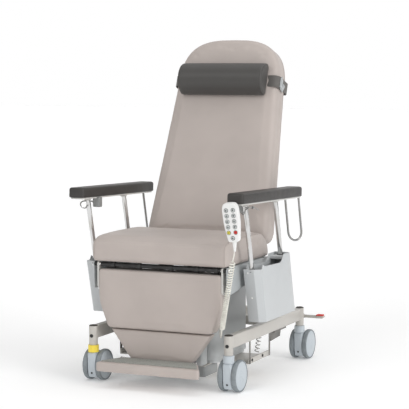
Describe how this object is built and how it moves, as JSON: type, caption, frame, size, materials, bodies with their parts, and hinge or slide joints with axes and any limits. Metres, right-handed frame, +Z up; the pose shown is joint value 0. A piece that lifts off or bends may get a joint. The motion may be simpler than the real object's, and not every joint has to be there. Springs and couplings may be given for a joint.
{
  "type": "patient recliner chair",
  "caption": "Wheeled powered recliner for patients, with lifting column, reclining back, rising leg section, drop armrests and a wired handset.",
  "frame": {"origin": "on the floor under the centre of the bounding box at rest", "axes": "+Z up; -Y is the front, where the sitter faces; +X is the sitter's left"},
  "size_m": [0.788, 0.9904, 1.3671],
  "materials": {
    "taupe_upholstery": "smooth coated upholstery cover, fine grain",
    "dark_armrest_pad": "skinned polyurethane foam, satin",
    "pillow_cover": "coated fabric, satin",
    "dark_strap": "webbing",
    "painted_frame": "warm light grey powder coat",
    "grey_cover": "moulded cover, fine texture",
    "grey_bracket": "cool light grey powder coat",
    "pocket_plastic": "moulded, fine texture",
    "chrome_tube": "bright chrome",
    "plain_steel": "zinc plated",
    "black_part": "black moulding",
    "caster_shell": "light blue-grey moulding",
    "caster_tyre": "mid grey tread",
    "yellow_ring": "yellow moulding",
    "footplate_mat": "ribbed non-slip mat",
    "handset_white": "white moulding",
    "button_grey": "soft key",
    "button_yellow": "soft key",
    "button_red": "soft key",
    "cord_jacket": "cream flexible jacket"
  },
  "bodies": {
    "base": {"base_frame": "painted_frame", "lower_tray": "painted_frame", "battery_pack": "grey_cover", "control_box": "grey_cover", "column_outer": "plain_steel", "column_cover_lower": "grey_cover"},
    "lift": {"column_inner": "plain_steel", "column_cover_upper": "grey_cover"},
    "seat": {"seat_frame": "grey_bracket", "seat_cushion": "taupe_upholstery", "leg_pivot_shaft": "black_part", "leg_actuator": "black_part", "back_actuator": "black_part", "side_pocket_left": "pocket_plastic", "side_pocket_right": "pocket_plastic", "cord_coil": "cord_jacket", "cord_tail": "cord_jacket"},
    "backrest": {"backrest_cushion": "taupe_upholstery", "backrest_shell": "grey_cover", "push_handle": "chrome_tube"},
    "pillow": {"head_pillow": "pillow_cover", "pillow_strap": "dark_strap"},
    "legrest": {"calf_pad": "taupe_upholstery", "legrest_frame": "grey_bracket"},
    "foot_section": {"foot_frame": "plain_steel", "lower_leg_pad": "taupe_upholstery"},
    "footboard": {"footplate": "taupe_upholstery", "footplate_mat": "footplate_mat"},
    "leg_rod": {"leg_actuator_rod": "chrome_tube"},
    "back_rod": {"back_actuator_rod": "chrome_tube"},
    "brake_left": {"brake_pedal_left": "painted_frame"},
    "arm_left": {"arm_frame_left": "chrome_tube", "arm_pad_left": "dark_armrest_pad"},
    "release_left": {"arm_lever_left": "plain_steel"},
    "brake_right": {"brake_pedal_right": "painted_frame"},
    "arm_right": {"arm_frame_right": "chrome_tube", "arm_pad_right": "dark_armrest_pad", "handset_body": "handset_white", "cord_lead": "cord_jacket"},
    "release_right": {"arm_lever_right": "plain_steel"},
    "caster_front_left": {"caster_fork_front_left": "caster_shell", "lock_ring": "yellow_ring"},
    "wheel_front_left": {"caster_wheel_front_left": "caster_tyre"},
    "caster_front_right": {"caster_fork_front_right": "caster_shell"},
    "wheel_front_right": {"caster_wheel_front_right": "caster_tyre"},
    "caster_rear_left": {"caster_fork_rear_left": "caster_shell"},
    "wheel_rear_left": {"caster_wheel_rear_left": "caster_tyre"},
    "caster_rear_right": {"caster_fork_rear_right": "caster_shell"},
    "wheel_rear_right": {"caster_wheel_rear_right": "caster_tyre"},
    "button_01": {"handset_button_01": "button_grey"},
    "button_02": {"handset_button_02": "button_grey"},
    "button_03": {"handset_button_03": "button_grey"},
    "button_04": {"handset_button_04": "button_grey"},
    "button_05": {"handset_button_05": "button_grey"},
    "button_06": {"handset_button_06": "button_grey"},
    "button_07": {"handset_button_07": "button_grey"},
    "button_08": {"handset_button_08": "button_grey"},
    "button_09": {"handset_button_09": "button_yellow"},
    "button_10": {"handset_button_10": "button_red"},
    "button_11": {"handset_button_11": "button_grey"}
  },
  "joints": [
    {"name": "column_lift", "type": "slide", "parent": "base", "child": "lift", "axis": [0, 0, 1], "range_m": [0, 0.25]},
    {"name": "seat_tilt", "type": "hinge", "parent": "lift", "child": "seat", "pos_m": [0, -0.05325, 0.452], "axis": [-1, 0, 0], "range_deg": [0, 9]},
    {"name": "back_recline", "type": "hinge", "parent": "seat", "child": "backrest", "pos_m": [0, 0.12875, 0.49], "axis": [-1, 0, 0], "range_deg": [0, 66]},
    {"name": "leg_lift", "type": "hinge", "parent": "seat", "child": "legrest", "pos_m": [0, -0.36825, 0.47], "axis": [-1, 0, 0], "range_deg": [0, 80]},
    {"name": "foot_extend", "type": "slide", "parent": "legrest", "child": "foot_section", "axis": [0, 0, -1], "range_m": [0, 0.095]},
    {"name": "footplate_fold", "type": "hinge", "parent": "foot_section", "child": "footboard", "pos_m": [0, -0.37325, 0.107], "axis": [-1, 0, 0], "range_deg": [0, 75]},
    {"name": "pillow_slide", "type": "slide", "parent": "backrest", "child": "pillow", "axis": [0, 0.342, 0.9397], "range_m": [-0.06, 0.03], "deforming": ["pillow_strap"]},
    {"name": "arm_drop_left", "type": "slide", "parent": "seat", "child": "arm_left", "axis": [0, 0.2516, -0.9678], "range_m": [0, 0.15]},
    {"name": "arm_release_left", "type": "hinge", "parent": "arm_left", "child": "release_left", "pos_m": [-0.355, -0.29025, 0.709], "axis": [-1, 0, 0], "range_deg": [0, 7], "stiffness_Nm_per_rad": 0.6, "springref_deg": -2.86},
    {"name": "arm_drop_right", "type": "slide", "parent": "seat", "child": "arm_right", "axis": [0, 0.2516, -0.9678], "range_m": [0, 0.15], "deforming": ["cord_coil", "cord_tail"]},
    {"name": "arm_release_right", "type": "hinge", "parent": "arm_right", "child": "release_right", "pos_m": [0.355, -0.29025, 0.709], "axis": [-1, 0, 0], "range_deg": [0, 7], "stiffness_Nm_per_rad": 0.6, "springref_deg": -2.86},
    {"name": "brake_right", "type": "hinge", "parent": "base", "child": "brake_right", "pos_m": [0.292, 0.39575, 0.183], "axis": [0, 1, 0], "range_deg": [-14, 14]},
    {"name": "brake_left", "type": "hinge", "parent": "base", "child": "brake_left", "pos_m": [-0.292, 0.39575, 0.183], "axis": [0, 1, 0], "range_deg": [-14, 14]},
    {"name": "swivel_front_left", "type": "hinge", "parent": "base", "child": "caster_front_left", "pos_m": [-0.292, -0.37225, 0.146], "axis": [0, 0, 1], "continuous": true},
    {"name": "roll_front_left", "type": "hinge", "parent": "caster_front_left", "child": "wheel_front_left", "pos_m": [-0.292, -0.33525, 0.0625], "axis": [1, 0, 0], "continuous": true},
    {"name": "swivel_front_right", "type": "hinge", "parent": "base", "child": "caster_front_right", "pos_m": [0.292, -0.37225, 0.146], "axis": [0, 0, 1], "continuous": true},
    {"name": "roll_front_right", "type": "hinge", "parent": "caster_front_right", "child": "wheel_front_right", "pos_m": [0.292, -0.33525, 0.0625], "axis": [1, 0, 0], "continuous": true},
    {"name": "swivel_rear_left", "type": "hinge", "parent": "base", "child": "caster_rear_left", "pos_m": [-0.292, 0.39575, 0.146], "axis": [0, 0, 1], "continuous": true},
    {"name": "roll_rear_left", "type": "hinge", "parent": "caster_rear_left", "child": "wheel_rear_left", "pos_m": [-0.292, 0.43275, 0.0625], "axis": [1, 0, 0], "continuous": true},
    {"name": "swivel_rear_right", "type": "hinge", "parent": "base", "child": "caster_rear_right", "pos_m": [0.292, 0.39575, 0.146], "axis": [0, 0, 1], "continuous": true},
    {"name": "roll_rear_right", "type": "hinge", "parent": "caster_rear_right", "child": "wheel_rear_right", "pos_m": [0.292, 0.43275, 0.0625], "axis": [1, 0, 0], "continuous": true},
    {"name": "leg_actuator_stroke", "type": "slide", "parent": "seat", "child": "leg_rod", "axis": [0, -0.989, -0.1477], "range_m": [0, 0.1]},
    {"name": "back_actuator_stroke", "type": "slide", "parent": "seat", "child": "back_rod", "axis": [0, 0.9996, -0.0291], "range_m": [-0.05, 0]},
    {"name": "press_01", "type": "slide", "parent": "arm_right", "child": "button_01", "axis": [0, 0.9925, 0.1219], "range_m": [0, 0.001], "stiffness_N_per_m": 600},
    {"name": "press_02", "type": "slide", "parent": "arm_right", "child": "button_02", "axis": [0, 0.9925, 0.1219], "range_m": [0, 0.001], "stiffness_N_per_m": 600},
    {"name": "press_03", "type": "slide", "parent": "arm_right", "child": "button_03", "axis": [0, 0.9925, 0.1219], "range_m": [0, 0.001], "stiffness_N_per_m": 600},
    {"name": "press_04", "type": "slide", "parent": "arm_right", "child": "button_04", "axis": [0, 0.9925, 0.1219], "range_m": [0, 0.001], "stiffness_N_per_m": 600},
    {"name": "press_05", "type": "slide", "parent": "arm_right", "child": "button_05", "axis": [0, 0.9925, 0.1219], "range_m": [0, 0.001], "stiffness_N_per_m": 600},
    {"name": "press_06", "type": "slide", "parent": "arm_right", "child": "button_06", "axis": [0, 0.9925, 0.1219], "range_m": [0, 0.001], "stiffness_N_per_m": 600},
    {"name": "press_07", "type": "slide", "parent": "arm_right", "child": "button_07", "axis": [0, 0.9925, 0.1219], "range_m": [0, 0.001], "stiffness_N_per_m": 600},
    {"name": "press_08", "type": "slide", "parent": "arm_right", "child": "button_08", "axis": [0, 0.9925, 0.1219], "range_m": [0, 0.001], "stiffness_N_per_m": 600},
    {"name": "press_09", "type": "slide", "parent": "arm_right", "child": "button_09", "axis": [0, 0.9925, 0.1219], "range_m": [0, 0.001], "stiffness_N_per_m": 600},
    {"name": "press_10", "type": "slide", "parent": "arm_right", "child": "button_10", "axis": [0, 0.9925, 0.1219], "range_m": [0, 0.001], "stiffness_N_per_m": 600},
    {"name": "press_11", "type": "slide", "parent": "arm_right", "child": "button_11", "axis": [0, 0.9925, 0.1219], "range_m": [0, 0.001], "stiffness_N_per_m": 600}
  ],
  "couplings": [
    {"joint": "foot_extend", "follows": "leg_lift", "m_per_rad": 0.067},
    {"joint": "leg_actuator_stroke", "follows": "leg_lift", "m_per_rad": 0.07},
    {"joint": "back_actuator_stroke", "follows": "back_recline", "m_per_rad": -0.042},
    {"joint": "brake_left", "follows": "brake_right", "ratio": -1}
  ]
}
